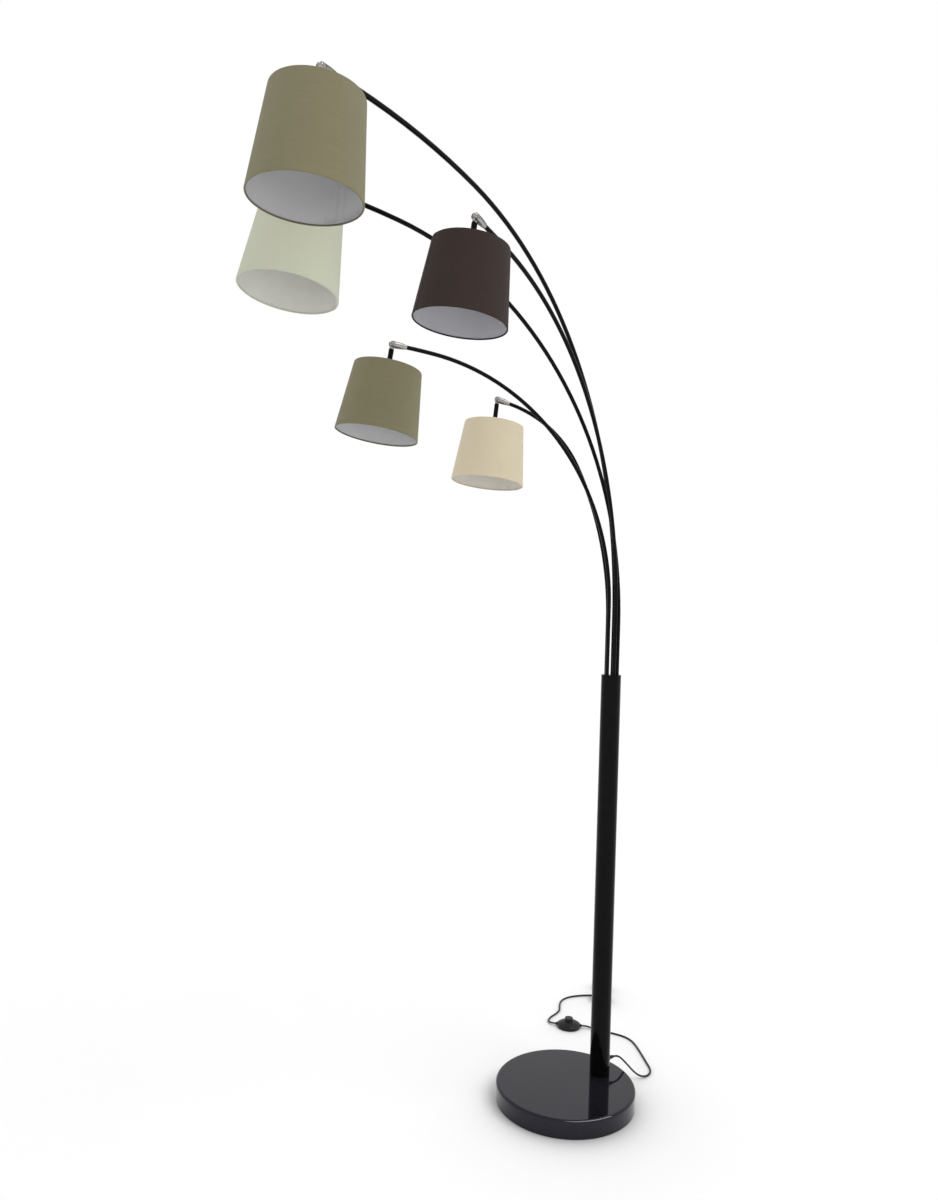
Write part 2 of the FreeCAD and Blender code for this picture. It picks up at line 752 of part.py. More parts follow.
def build_switch():
    """Round foot switch: base with a cord stub at each side, domed cover and the button that moves in it."""
    frame = Placement(Vector(*SWITCH_CENTRE, 0), Rotation(Vector(0, 0, 1), SWITCH_HEADING))
    plate = cylinder("switch_plate", d.switch_diameter, d.switch_base_height)
    stub = cylinder(
        "switch_stub", d.switch_stub_diameter, d.switch_stub_reach * 2,
        (-d.switch_stub_reach, 0, d.switch_axis_height), "X",
    )
    keep(fuse("switch_base", plate, stub), "switch_base", frame)

    radius = d.switch_diameter / 2
    ball = (radius * radius + d.switch_dome_height * d.switch_dome_height) / d.switch_dome_height
    top = d.switch_base_height + d.switch_dome_height
    middle = (0, 0, top - ball / 2)
    drum = cylinder("switch_drum", d.switch_diameter, d.switch_dome_height, (0, 0, d.switch_base_height))
    dome = common("switch_dome", drum, sphere("switch_ball", ball, middle))
    bore = cylinder(
        "switch_bore", d.button_diameter + d.button_clearance * 2, d.switch_dome_height,
        (0, 0, d.switch_base_height),
    )
    hollow = sphere("switch_hollow", ball - d.switch_wall * 2, middle)
    stub_room = cylinder(
        "switch_stub_room", d.switch_stub_diameter + d.button_clearance * 2, d.switch_diameter,
        (-radius, 0, d.switch_axis_height), "X",
    )
    keep(cut("switch_cover", dome, hollow, bore, stub_room), "switch_cover", frame)

    flange_low = d.button_flange_top - d.button_flange_height
    button = turned("switch_button", [
        (0, flange_low),
        (d.button_flange_diameter / 2, flange_low),
        (d.button_flange_diameter / 2, d.button_flange_top),
        (d.button_diameter / 2, d.button_flange_top),
        (d.button_diameter / 2, d.button_height),
        (0, d.button_height),
    ])
    keep(button, "switch_button", frame)


def build_gland():
    """Strain relief in the pole wall: inner flange, neck, outer flange and tapered sleeve, pointing to +X."""
    wall = d.pole_diameter / 2 + d.gland_seat
    back = wall - d.gland_back
    inner = back + d.gland_flange_height / 2
    gland = turned("cord_gland", [
        (0, back),
        (d.gland_flange_diameter / 2, back),
        (d.gland_flange_diameter / 2, inner),
        (d.gland_neck_diameter / 2, inner),
        (d.gland_neck_diameter / 2, wall),
        (d.gland_flange_diameter / 2, wall),
        (d.gland_flange_diameter / 2, wall + d.gland_flange_height),
        (d.gland_neck_diameter / 2, wall + d.gland_flange_height),
        (d.gland_tip_diameter / 2, d.pole_diameter / 2 + d.gland_reach),
        (0, d.pole_diameter / 2 + d.gland_reach),
    ])
    seat = Vector(float(d.pole_offset), 0, float(d.gland_height))
    keep(gland, "cord_gland", Placement(seat, ALONG["X"]))


def mid_of_arc(start, tangent, end):
    """Middle point of the arc that leaves start along tangent and ends at end."""
    chord = end - start
    half = chord.Length / 2
    turn = tangent.getAngle(chord)
    side = tangent - chord * (tangent.dot(chord) / chord.Length ** 2)
    if side.Length < 1e-9:
        return None
    return (start + end) * 0.5 + side.normalize() * (half * math.tan(turn / 2))


def arc_edge(start, tangent, end):
    middle = mid_of_arc(start, tangent, end)
    if middle is None:
        return Part.LineSegment(start, end).toShape()
    return Part.Arc(start, middle, end).toShape()


def rounded_route(label, route):
    """Edges of a route: straight runs joined by tangent arcs as large as their runs allow."""
    points = [Vector(*point) for point in route]
    edges = []
    radii = []
    start = points[0]
    for before, corner, after in zip(points, points[1:], points[2:]):
        run_in, run_out = corner - before, after - corner
        cut_back = 0.45 * min(run_in.Length, run_out.Length)
        turn = run_in.getAngle(run_out)
        radii.append(cut_back / math.tan(turn / 2))
        way_in, way_out = run_in.normalize(), run_out.normalize()
        arc_start, arc_end = corner - way_in * cut_back, corner + way_out * cut_back
        edges.append(Part.LineSegment(start, arc_start).toShape())
        edges.append(arc_edge(arc_start, way_in, arc_end))
        start = arc_end
    edges.append(Part.LineSegment(start, points[-1]).toShape())
    print(label, "bend radii", [round(radius, 1) for radius in radii])
    if min(radii) < TIGHTEST_BEND_DIAMETERS * float(d.cord_diameter):
        raise ValueError(f"{label} bends too tightly")
    return edges


def swept_cord(label, edges):
    """Round cord along a path of tangent edges, its volume compared with its section times its length."""
    path = Part.Wire(edges)
    first = edges[0]
    start = first.FirstParameter
    circle = Part.Circle(first.valueAt(start), first.tangentAt(start), float(d.cord_diameter) / 2)
    solid = path.makePipeShell([Part.Wire([circle.toShape()])], True, False)
    expected = math.pi / 4 * float(d.cord_diameter) ** 2 * path.Length
    print(label, "length", round(path.Length, 1), "volume over section times length", solid.Volume / expected)
    cord = doc.addObject("Part::Feature", label)
    cord.Shape = solid
    keep(cord, label, Placement())


def coil_line():
    """Middle line of the coil as points with tangents a quarter turn apart, inwards and outwards in turn."""
    turns = float(d.coil_turns_per_layer)
    step = float(d.coil_turn_step)
    inner = float(d.coil_middle_diameter) / 2 - step * turns / 2
    low = float(d.coil_lift) + float(d.cord_diameter) / 2
    rise = float(d.coil_layer_step)
    layers = 4

    def point(turned_by):
        layer = min(int(turned_by / turns), layers - 1)
        inwards = layer % 2 == 0
        part = turned_by - layer * turns
        radius = inner + step * (turns - part if inwards else part)
        height = low
        for reversal in range(1, layers):
            climbed = (turned_by - reversal * turns + 0.25) / 0.5
            height += rise * min(1, max(0, climbed))
        angle = math.radians(COIL_START_ANGLE - 360 * turned_by)
        return Vector(
            COIL_CENTRE[0] + radius * math.cos(angle), COIL_CENTRE[1] + radius * math.sin(angle), height,
        )

    stations = set()
    for layer in range(layers):
        for quarter in range(int(turns * 4) + 1):
            stations.add(round(layer * turns + quarter * 0.25, STATION_DIGITS))
        if layer:
            stations.update(round(layer * turns + side * 0.25, STATION_DIGITS) for side in (-1, 0, 1))
    stations.add(round(layers * turns, STATION_DIGITS))
    ordered = [0.0]
    for station in sorted(stations):
        if station - ordered[-1] > 0.08:
            ordered.append(station)
    ordered[-1] = layers * turns
    points = [point(station) for station in ordered]
    small = 1e-4
    tangents = [
        (point(min(station + small, layers * turns)) - point(max(station - small, 0))).normalize()
        for station in ordered
    ]
    return points, tangents


def biarc(start, start_way, end, end_way):
    """Two arcs that join tangentially between two points with given directions."""
    span = end - start
    ways = start_way + end_way
    bend = 2 * (1 - start_way.dot(end_way))
    reach = span.dot(ways)
    if bend < 1e-9:
        arm = span.dot(span) / (2 * reach)
    else:
        arm = (math.sqrt(reach * reach + bend * span.dot(span)) - reach) / bend
    joint = (start + start_way * arm + end - end_way * arm) * 0.5
    joint_way = (end - end_way * arm - start - start_way * arm).normalize()
    return [arc_edge(start, start_way, joint), arc_edge(joint, joint_way, end)]


def least_gap(edges, spacing):
    """Least clear distance between parts of a coiled cord that lie more than half a turn apart along it."""
    path = Part.Wire(edges)
    points = path.discretize(Distance=spacing)
    apart = int(math.pi * float(d.coil_middle_diameter) / 2 / spacing)
    count = len(points)
    nearest = min(
        points[i].distanceToPoint(points[j]) for i in range(count) for j in range(i + apart, count)
    )
    return nearest - float(d.cord_diameter)


def build_cord():
    """Lead, tail, put-away coil with its tie, and the plug on the coil's end."""
    swept_cord("cord_lead", rounded_route("cord_lead", LEAD_ROUTE))

    points, tangents = coil_line()
    straight = float(d.cord_diameter) * 1.1
    start = points[0] - tangents[0] * straight
    heading = math.radians(PLUG_HEADING)
    plug_way = Vector(math.cos(heading), math.sin(heading), 0)
    middle = Vector(*COIL_CENTRE, points[-1].z)
    aside = (points[-1] - middle) - plug_way * (points[-1] - middle).dot(plug_way)
    bend_turn = tangents[-1].getAngle(plug_way)
    bend = aside.Length / (1 - math.cos(bend_turn))
    landing = points[-1] - aside + plug_way * (bend * math.sin(bend_turn))
    plug_start = landing + plug_way * straight
    edges = [Part.LineSegment(start, points[0]).toShape()]
    for index in range(len(points) - 1):
        edges += biarc(points[index], tangents[index], points[index + 1], tangents[index + 1])
    edges += biarc(points[-1], tangents[-1], landing, plug_way)
    edges.append(Part.LineSegment(landing, plug_start).toShape())
    gap = least_gap(edges, COIL_SAMPLE_SPACING)
    print("cord_coil least gap to itself", round(gap, 3), "lead-out bend radius", round(bend, 1))
    print("cord_coil start", start, "plug start", plug_start)
    if gap < LEAST_COIL_GAP:
        raise ValueError("cord_coil is wound too closely")
    swept_cord("cord_coil", edges)

    swept_cord("cord_tail", rounded_route("cord_tail", TAIL_ROUTE + [tuple(start)]))

    reach = d.coil_turn_step * d.coil_turns_per_layer / 2
    inside = d.coil_middle_diameter / 2 - reach - d.cord_diameter / 2 - d.tie_clearance
    outside = d.coil_middle_diameter / 2 + reach + d.cord_diameter / 2 + d.tie_clearance
    top = d.coil_lift + d.cord_diameter + d.coil_layer_step * 3 + d.tie_clearance
    strap = box(
        "tie_strap", (outside - inside + d.tie_thickness * 2, d.tie_width, top + d.tie_thickness),
        (inside - d.tie_thickness, -d.tie_width / 2, 0),
    )
    room = box(
        "tie_room", (outside - inside, d.tie_width, top - d.tie_thickness),
        (inside, -d.tie_width / 2, d.tie_thickness),
    )
    turn = Rotation(Vector(0, 0, 1), TIE_ANGLE)
    keep(cut("coil_tie", strap, room), "coil_tie", Placement(Vector(*COIL_CENTRE, 0), turn))

    axis_height = d.coil_lift + d.cord_diameter / 2 + d.coil_layer_step * 3
    body = turned("plug_body", [
        (0, 0),
        (d.plug_tail_diameter / 2, 0),
        (d.plug_tail_diameter / 2 + d.plug_tail_length / 10, d.plug_tail_length),
        (axis_height, d.plug_tail_length + d.plug_shoulder),
        (axis_height, d.plug_length),
        (0, d.plug_length),
    ])
    frame = Placement(plug_start, Rotation(Vector(0, 0, 1), PLUG_HEADING) * ALONG["X"])
    keep(body, "plug_body", frame)
    pins = [
        cylinder(f"pin_{index}", d.pin_diameter, d.pin_length, (0, d.pin_spacing * side, d.plug_length))
        for index, side in enumerate((-0.5, 0.5))
    ]
    keep(fuse("plug_pins", *pins), "plug_pins", frame)


def check_and_write():
    doc.recompute()
    bad_states = {"Invalid", "Error"}
    faults = [f"{thing.Label}: {thing.State}" for thing in doc.Objects if bad_states & set(thing.State)]
    for piece in pieces:
        if piece.Shape.isNull() or not piece.Shape.isValid() or not piece.Shape.Solids:
            faults.append(f"{piece.Label}: no valid solid")
    if faults:
        raise RuntimeError("; ".join(faults))
    os.makedirs("parts", exist_ok=True)
    for piece in pieces:
        piece.Shape.exportStep(f"parts/{piece.Label}.step")
    box_all = FreeCAD.BoundBox()
    for piece in pieces:
        box_all.add(piece.Shape.BoundBox)
    print(len(pieces), "pieces,", "overall", box_all)


build_base()
build_pole()
build_sockets()
build_gland()
build_switch()
build_cord()
for arm in ARMS:
    head = arm.replace("arm", "head")
    elbow_frame, head_frame, lamp_frame = head_frames(arm)
    build_arm_tube(arm)
    build_elbow(arm, elbow_frame)
    build_stem(head, head_frame, arm_size(arm, "stem_length"))
    build_lampholder(head, lamp_frame)
    build_bulb(head, lamp_frame)
    build_carrier(head, lamp_frame, arm_size(arm, "shade_height"))
    build_shade(head, lamp_frame, arm_size(arm, "shade_height"))
check_and_write()
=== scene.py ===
import json
import math
from typing import NamedTuple

import bpy
from mathutils import Matrix, Vector


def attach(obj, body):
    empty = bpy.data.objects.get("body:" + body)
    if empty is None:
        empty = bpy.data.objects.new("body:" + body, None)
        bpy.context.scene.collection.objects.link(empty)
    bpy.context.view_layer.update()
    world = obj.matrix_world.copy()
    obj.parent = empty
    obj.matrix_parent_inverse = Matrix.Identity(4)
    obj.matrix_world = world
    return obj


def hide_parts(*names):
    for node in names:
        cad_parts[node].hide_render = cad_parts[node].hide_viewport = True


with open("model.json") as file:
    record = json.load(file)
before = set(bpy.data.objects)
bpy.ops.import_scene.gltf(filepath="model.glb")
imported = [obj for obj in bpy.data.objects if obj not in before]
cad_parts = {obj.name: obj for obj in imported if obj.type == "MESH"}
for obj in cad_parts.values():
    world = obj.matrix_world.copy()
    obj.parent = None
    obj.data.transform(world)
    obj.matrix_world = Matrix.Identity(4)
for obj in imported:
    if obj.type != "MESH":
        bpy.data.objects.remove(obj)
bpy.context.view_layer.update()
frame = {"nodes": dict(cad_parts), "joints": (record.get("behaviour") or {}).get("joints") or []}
nodes = frame["nodes"]
joints = {joint["name"]: joint for joint in frame["joints"]}
scene = bpy.context.scene


class Head(NamedTuple):
    """One head at rest, with angles in degrees and lengths in metres."""

    lean: float  # towards +X
    sway: float  # towards +Y
    stem: float  # from the pivot to the stem's lower end
    tall: float  # height of the shade
    seam: float  # compass angle of the cloth's overlap
    cloth: str
    oval: float = 0.0  # share by which the lower rim is out of round
    oval_axis: float = 0.0  # compass angle of the oval's long axis


HEADS = {
    "head_1": Head(
        lean=5.2, sway=-1.2, stem=0.044, tall=0.155, seam=32, cloth="olive", oval=0.045, oval_axis=104,
    ),
    "head_2": Head(lean=8.8, sway=1.5, stem=0.058, tall=0.145, seam=2, cloth="cream"),
    "head_3": Head(lean=6.4, sway=-2.0, stem=0.055, tall=0.145, seam=175, cloth="brown"),
    "head_4": Head(lean=8.4, sway=-1.2, stem=0.055, tall=0.145, seam=150, cloth="olive"),
    "head_5": Head(lean=6.5, sway=0.6, stem=0.066, tall=0.145, seam=20, cloth="beige"),
}
ARMS = ("arm_1", "arm_2", "arm_3", "arm_4", "arm_5")


# Camera

CAMERA_EYE = Vector((-1.2795, -1.8075, 1.1803))
CAMERA_RIGHT = Vector((0.87859, -0.47665, 0.02972))
CAMERA_UP = Vector((-0.02622, 0.01400, 0.99956))
CAMERA_SENSOR = 36
CAMERA_LENS = 27.75
CAMERA_DEPTH = 200


def add_camera():
    data = bpy.data.cameras.new("camera")
    data.sensor_width = CAMERA_SENSOR
    data.lens = CAMERA_LENS
    data.clip_end = CAMERA_DEPTH
    camera = bpy.data.objects.new("camera", data)
    scene.collection.objects.link(camera)
    right = CAMERA_RIGHT.normalized()
    back = right.cross(CAMERA_UP).normalized()
    up = back.cross(right)
    turn = Matrix((right, up, back)).transposed().to_4x4()
    camera.matrix_world = Matrix.Translation(CAMERA_EYE) @ turn
    scene.camera = camera


# Node helpers

def rgb(red, green, blue):
    return (red, green, blue, 1.0)


def new_material(name):
    material = bpy.data.materials.new(name)
    material.use_nodes = True
    return material, material.node_tree, material.node_tree.nodes["Principled BSDF"]


def feed(tree, made, **inputs):
    """Sets or links a node's inputs; in a name _ stands for a blank, and _2 is the input with index 2."""
    for name, value in inputs.items():
        key = int(name[1:]) if name[0] == "_" else name.replace("_", " ")
        if isinstance(value, bpy.types.NodeSocket):
            tree.links.new(value, made.inputs[key])
        else:
            made.inputs[key].default_value = value


def node(tree, kind, settings=None, **inputs):
    made = tree.nodes.new(kind)
    for name, value in (settings or {}).items():
        setattr(made, name, value)
    feed(tree, made, **inputs)
    return made


def math_node(tree, operation, *values):
    made = node(tree, "ShaderNodeMath", {"operation": operation})
    feed(tree, made, **{f"_{index}": value for index, value in enumerate(values)})
    return made.outputs[0]


def scaled(tree, value, factor):
    return math_node(tree, "MULTIPLY", value, factor)


def summed(tree, total, *others):
    for other in others:
        total = math_node(tree, "ADD", total, other)
    return total


def ramp(tree, value, given, wanted):
    """Maps a value from the given range to the wanted one, and keeps it inside that."""
    made = node(
        tree, "ShaderNodeMapRange",
        Value=value, From_Min=given[0], From_Max=given[1], To_Min=wanted[0], To_Max=wanted[1],
    )
    return made.outputs[0]


def mix_colour(tree, share, first, second):
    """Mixes two colours, by the colour inputs 6 and 7 and the colour output 2 of the Mix node."""
    made = node(tree, "ShaderNodeMix", {"data_type": "RGBA"}, _0=share, _6=first, _7=second)
    return made.outputs[2]


def coordinates(tree, kind):
    return node(tree, "ShaderNodeTexCoord").outputs[kind]


def stretched(tree, place, scale, turn=0.0):
    """Coordinates turned about Z by degrees and scaled along each axis."""
    return node(
        tree, "ShaderNodeMapping", Vector=place, Rotation=(0, 0, math.radians(turn)), Scale=scale,
    ).outputs[0]


def noise(tree, place, scale, detail=3.0, roughness=0.55):
    made = node(
        tree, "ShaderNodeTexNoise", Vector=place, Scale=scale, Detail=detail, Roughness=roughness,
    )
    return made.outputs["Fac"]


def bump(tree, shader, height, distance, strength):
    made = node(tree, "ShaderNodeBump", Height=height, Distance=distance, Strength=strength)
    tree.links.new(made.outputs[0], shader.inputs["Normal"])


def show(tree, surface):
    """Makes a shader node the material's surface."""
    tree.links.new(surface.outputs[0], tree.nodes["Material Output"].inputs["Surface"])


def let_through(tree, shader, colour, share):
    """Lets a share of the light through the surface."""
    through = node(tree, "ShaderNodeBsdfTranslucent", Color=colour)
    show(tree, node(tree, "ShaderNodeMixShader", _0=share, _1=shader.outputs[0], _2=through.outputs[0]))


# Materials; the scales of noise are in features per metre, and stretched ones are scaled by their coordinates

UNIT = (0.0, 1.0)
NOISE_SPAN = (0.3, 0.7)
DUST_SPAN = (0.3, 0.75)
UNSCALED = 1.0

THREAD = 0.0009
WAVE_RADIANS = 20  # of the wave texture over one metre, at a scale of 1
WEFT_STRETCH = (22, 600, 1)
WARP_STRETCH = (900, 40, 1)
WEFT_SHARE = 0.75
PATCH_SCALE = 9.0
YARN_DARKNESS = (0.2, 0.5)
WEAVE_DARKNESS = (0.12, -0.12)
PATCH_DARKNESS = (-0.12, 0.12)
YARN_HEIGHT = 0.8


def linen(name, pale, dark, translucent, sheen=0.12):
    """Plain woven cloth on UVs in metres, with uneven yarn and a soft sheen, that lets some light through."""
    material, tree, shader = new_material(name)
    uv = coordinates(tree, "UV")
    threads = [
        node(
            tree, "ShaderNodeTexWave", {"wave_type": "BANDS", "bands_direction": direction},
            Vector=uv, Scale=2 * math.pi / (WAVE_RADIANS * THREAD), Distortion=0.6, Detail=1.0,
        ).outputs["Fac"]
        for direction in ("X", "Y")
    ]
    weave = math_node(tree, "MULTIPLY", *threads)
    weft = noise(tree, stretched(tree, uv, WEFT_STRETCH), UNSCALED, detail=2.0)
    warp = noise(tree, stretched(tree, uv, WARP_STRETCH), UNSCALED, detail=1.0)
    yarn = summed(tree, scaled(tree, weft, WEFT_SHARE), scaled(tree, warp, 1 - WEFT_SHARE))
    patches = noise(tree, uv, PATCH_SCALE, detail=2.0)
    darkness = summed(
        tree,
        ramp(tree, yarn, (0.35, 0.65), YARN_DARKNESS),
        ramp(tree, weave, UNIT, WEAVE_DARKNESS),
        ramp(tree, patches, NOISE_SPAN, PATCH_DARKNESS),
    )
    colour = mix_colour(tree, node(tree, "ShaderNodeClamp", Value=darkness).outputs[0], pale, dark)
    feed(
        tree, shader,
        Base_Color=colour, Roughness=0.85, Specular_IOR_Level=0.2, Sheen_Weight=sheen, Sheen_Roughness=0.5,
    )
    bump(tree, shader, summed(tree, weave, scaled(tree, yarn, YARN_HEIGHT)), distance=0.00025, strength=0.7)
    let_through(tree, shader, colour, translucent)
    return material


RIB_STRETCH = (500, 30, 1)
CLOUD_SCALE = 14.0
PAINTED_SHADE_HEIGHTS = (0.15, 0.21)  # painted shade: heights along the UVs, from the lower rim up, over which the lining darkens
PAINTED_SHADE_BY_HEIGHT = (0.0, 0.75)
GREYED_BY_CLOUDS = (0.0, 0.25)
SHADE_AND_CLOUD_LEVEL = 0.84


def liner(name, colour, translucent):
    """Smooth backing of a shade, faintly ribbed by the cloth behind it, with painted shade that makes it
    greyer away from the lower rim, and random grey clouds.
    """
    material, tree, shader = new_material(name)
    uv = coordinates(tree, "UV")
    ribs = noise(tree, stretched(tree, uv, RIB_STRETCH), UNSCALED, detail=2.0)
    clouds = noise(tree, uv, CLOUD_SCALE, detail=2.0)
    along = node(tree, "ShaderNodeSeparateXYZ", Vector=uv).outputs["Y"]
    # Painted shade: the lining greys with height above the lower rim, as light falls off inside the shade;
    # the clouds are random tone.
    painted_shade_and_clouds = summed(
        tree,
        ramp(tree, along, PAINTED_SHADE_HEIGHTS, PAINTED_SHADE_BY_HEIGHT),
        ramp(tree, clouds, NOISE_SPAN, GREYED_BY_CLOUDS),
    )
    shade_and_cloud_grey = rgb(*(channel * SHADE_AND_CLOUD_LEVEL for channel in colour[:3]))
    tone = mix_colour(tree, painted_shade_and_clouds, colour, shade_and_cloud_grey)
    feed(tree, shader, Base_Color=tone, Roughness=ramp(tree, ribs, NOISE_SPAN, (0.42, 0.55)))
    bump(tree, shader, ribs, distance=0.00012, strength=0.4)
    let_through(tree, shader, tone, translucent)
    return material


LACQUER_TONES = (rgb(0.0022, 0.0021, 0.0022), rgb(0.0045, 0.0044, 0.0046))
LACQUER_SHINE = 0.07
PEEL_SCALE = 420.0
DUST_SCALE = 60.0


def dusting(tree, place):
    return noise(tree, place, DUST_SCALE, detail=5.0, roughness=0.7)


def black_lacquer():
    """Gloss black powder coat with slight orange peel and fine dust."""
    material, tree, shader = new_material("black_lacquer")
    place = coordinates(tree, "Object")
    peel = noise(tree, place, PEEL_SCALE, detail=2.0)
    dust = dusting(tree, place)
    feed(
        tree, shader,
        Base_Color=mix_colour(tree, ramp(tree, dust, (0.45, 0.75), UNIT), *LACQUER_TONES),
        Roughness=ramp(tree, dust, DUST_SPAN, (0.08, 0.16)),
        Specular_IOR_Level=LACQUER_SHINE,
    )
    bump(tree, shader, peel, distance=0.00006, strength=0.25)
    return material


STONE_TONES = (rgb(0.0045, 0.0042, 0.0062), rgb(0.0125, 0.0117, 0.0155))
STONE_SPECK = rgb(0.10, 0.10, 0.11)
STONE_SHINE = 0.27
STONE_SHINE_TINT = rgb(0.84, 0.80, 1.0)
STONE_CLOUD_SCALE = 7.0
STONE_CRYSTAL_SCALE = 420.0
STONE_SPECK_SCALE = 380.0
STONE_CLOUD_SHARE = 0.6
RUBBED_STRETCH = (12, 320, 12)
RUBBED_ANGLE = 35


def polished_stone():
    """Polished black stone: dark crystals, a few pale specks and cloudy patches under a rubbed gloss."""
    material, tree, shader = new_material("polished_stone")
    place = coordinates(tree, "Object")
    clouds = noise(tree, place, STONE_CLOUD_SCALE, detail=4.0)
    crystals = node(tree, "ShaderNodeTexVoronoi", Vector=place, Scale=STONE_CRYSTAL_SCALE).outputs["Color"]
    grain = node(tree, "ShaderNodeSeparateColor", Color=crystals).outputs[0]
    tone = summed(
        tree,
        ramp(tree, clouds, NOISE_SPAN, (0.0, STONE_CLOUD_SHARE)),
        scaled(tree, grain, 1 - STONE_CLOUD_SHARE),
    )
    body = mix_colour(tree, tone, *STONE_TONES)
    speck = ramp(tree, noise(tree, place, STONE_SPECK_SCALE, detail=1.0), (0.76, 0.80), (0.0, 0.8))
    streaks = noise(tree, stretched(tree, place, RUBBED_STRETCH, RUBBED_ANGLE), UNSCALED)
    feed(
        tree, shader,
        Base_Color=mix_colour(tree, speck, body, STONE_SPECK),
        Roughness=ramp(tree, streaks, (0.35, 0.75), (0.04, 0.10)),
        Specular_IOR_Level=STONE_SHINE,
        Specular_Tint=STONE_SHINE_TINT,
    )
    return material


NICKEL_TONES = (rgb(0.36, 0.345, 0.33), rgb(0.30, 0.285, 0.27))
# Painted reflection: the near-black edge tint darkens the metal's grazing edges as if they mirrored dark
# surroundings.
NICKEL_PAINTED_DARK_EDGE_TINT = rgb(0.02, 0.02, 0.02)
NICKEL_GRAIN_SCALE = 2600.0
TARNISH_SCALE = 90.0


def brushed_nickel():
    """Satin nickel with a fine even grain, slightly darker tarnish, and a near-black edge tint that paints
    dark reflections at its grazing edges.
    """
    material, tree, shader = new_material("brushed_nickel")
    place = coordinates(tree, "Object")
    grain = noise(tree, place, NICKEL_GRAIN_SCALE, detail=2.0)
    tarnish = noise(tree, place, TARNISH_SCALE)
    feed(
        tree, shader,
        Base_Color=mix_colour(tree, ramp(tree, tarnish, (0.35, 0.7), UNIT), *NICKEL_TONES),
        Metallic=1.0,
        Specular_Tint=NICKEL_PAINTED_DARK_EDGE_TINT,
        Roughness=ramp(tree, grain, NOISE_SPAN, (0.22, 0.28)),
    )
    bump(tree, shader, grain, distance=0.00002, strength=0.2)
    return material


BARE_REACH = (0.0105, 0.0109)  # distance from the pivot over which bare metal gives way to lacquer


def stem_finish(head):
    """Lacquered stem whose eye and collar are left in bare metal."""
    material, tree, shader = new_material(f"{head}_stem_finish")
    place = coordinates(tree, "Object")
    pivot = tuple(joints[f"{head}_tilt"]["pos_m"])
    away = node(tree, "ShaderNodeVectorMath", {"operation": "DISTANCE"}, _0=place, _1=pivot).outputs["Value"]
    painted = ramp(tree, away, BARE_REACH, UNIT)
    dust = dusting(tree, place)
    lacquer_tone = mix_colour(tree, dust, *LACQUER_TONES)
    metal_tone = mix_colour(tree, dust, *NICKEL_TONES)
    feed(
        tree, shader,
        Base_Color=mix_colour(tree, painted, metal_tone, lacquer_tone),
        Metallic=math_node(tree, "SUBTRACT", 1.0, painted),
        Roughness=ramp(tree, dust, DUST_SPAN, (0.16, 0.30)),
        Specular_IOR_Level=LACQUER_SHINE,
    )
    return material


SCUFF_SCALE = 75.0
SCUFF_ROUGHENING = 0.14


def moulded(name, dark, pale, roughness, grain=900.0, shine=0.5):
    """Moulded plastic with a fine eroded grain and faint scuffs."""
    material, tree, shader = new_material(name)
    place = coordinates(tree, "Object")
    skin = noise(tree, place, grain)
    scuffs = noise(tree, place, SCUFF_SCALE, detail=5.0, roughness=0.7)
    feed(
        tree, shader,
        Base_Color=mix_colour(tree, ramp(tree, scuffs, (0.4, 0.75), UNIT), dark, pale),
        Roughness=ramp(tree, scuffs, DUST_SPAN, (roughness, roughness + SCUFF_ROUGHENING)),
        Specular_IOR_Level=shine,
    )
    bump(tree, shader, skin, distance=0.00008, strength=0.4)
    return material


STEEL_TONES = (rgb(0.55, 0.55, 0.56), rgb(0.68, 0.68, 0.69))
STEEL_MARK_SCALE = 500.0


def steel():
    """Bare steel with fine tool marks."""
    material, tree, shader = new_material("turned_steel")
    marks = noise(tree, coordinates(tree, "Object"), STEEL_MARK_SCALE)
    feed(
        tree, shader,
        Base_Color=mix_colour(tree, marks, *STEEL_TONES),
        Metallic=1.0,
        Roughness=ramp(tree, marks, NOISE_SPAN, (0.28, 0.42)),
    )
    return material


FELT_TONES = (rgb(0.03, 0.03, 0.031), rgb(0.07, 0.07, 0.07))
FELT_FIBRE_SCALE = 900.0


def felt():
    """Dark pressed felt with tangled fibres."""
    material, tree, shader = new_material("felt")
    fibres = noise(tree, coordinates(tree, "Object"), FELT_FIBRE_SCALE, detail=5.0, roughness=0.75)
    feed(
        tree, shader,
        Base_Color=mix_colour(tree, ramp(tree, fibres, NOISE_SPAN, UNIT), *FELT_TONES),
        Roughness=0.95,
    )
    bump(tree, shader, fibres, distance=0.0006, strength=0.8)
    return material


OPAL_TONES = (rgb(0.80, 0.80, 0.78), rgb(0.88, 0.88, 0.86))
OPAL_MILK_SCALE = 40.0
OPAL_DEPTH = 0.004


def opal_glass():
    """Opal bulb glass, milky with a faint mottling."""
    material, tree, shader = new_material("opal_glass")
    milk = noise(tree, coordinates(tree, "Object"), OPAL_MILK_SCALE)
    feed(
        tree, shader,
        Base_Color=mix_colour(tree, milk, *OPAL_TONES),
        Roughness=ramp(tree, milk, NOISE_SPAN, (0.12, 0.2)),
        Subsurface_Weight=0.3,
        Subsurface_Radius=(OPAL_DEPTH, OPAL_DEPTH, OPAL_DEPTH),
    )
    return material


def dress(material, *names):
    """Gives CAD nodes a material."""
    for name in names:
        for holder in nodes[name].material_slots:
            holder.material = material


# Cord

CORD_DIAMETER = 0.0045
CORD_ORDER = 3
CORD_CURVE_STEPS = 6
CORD_ROUND_STEPS = 3
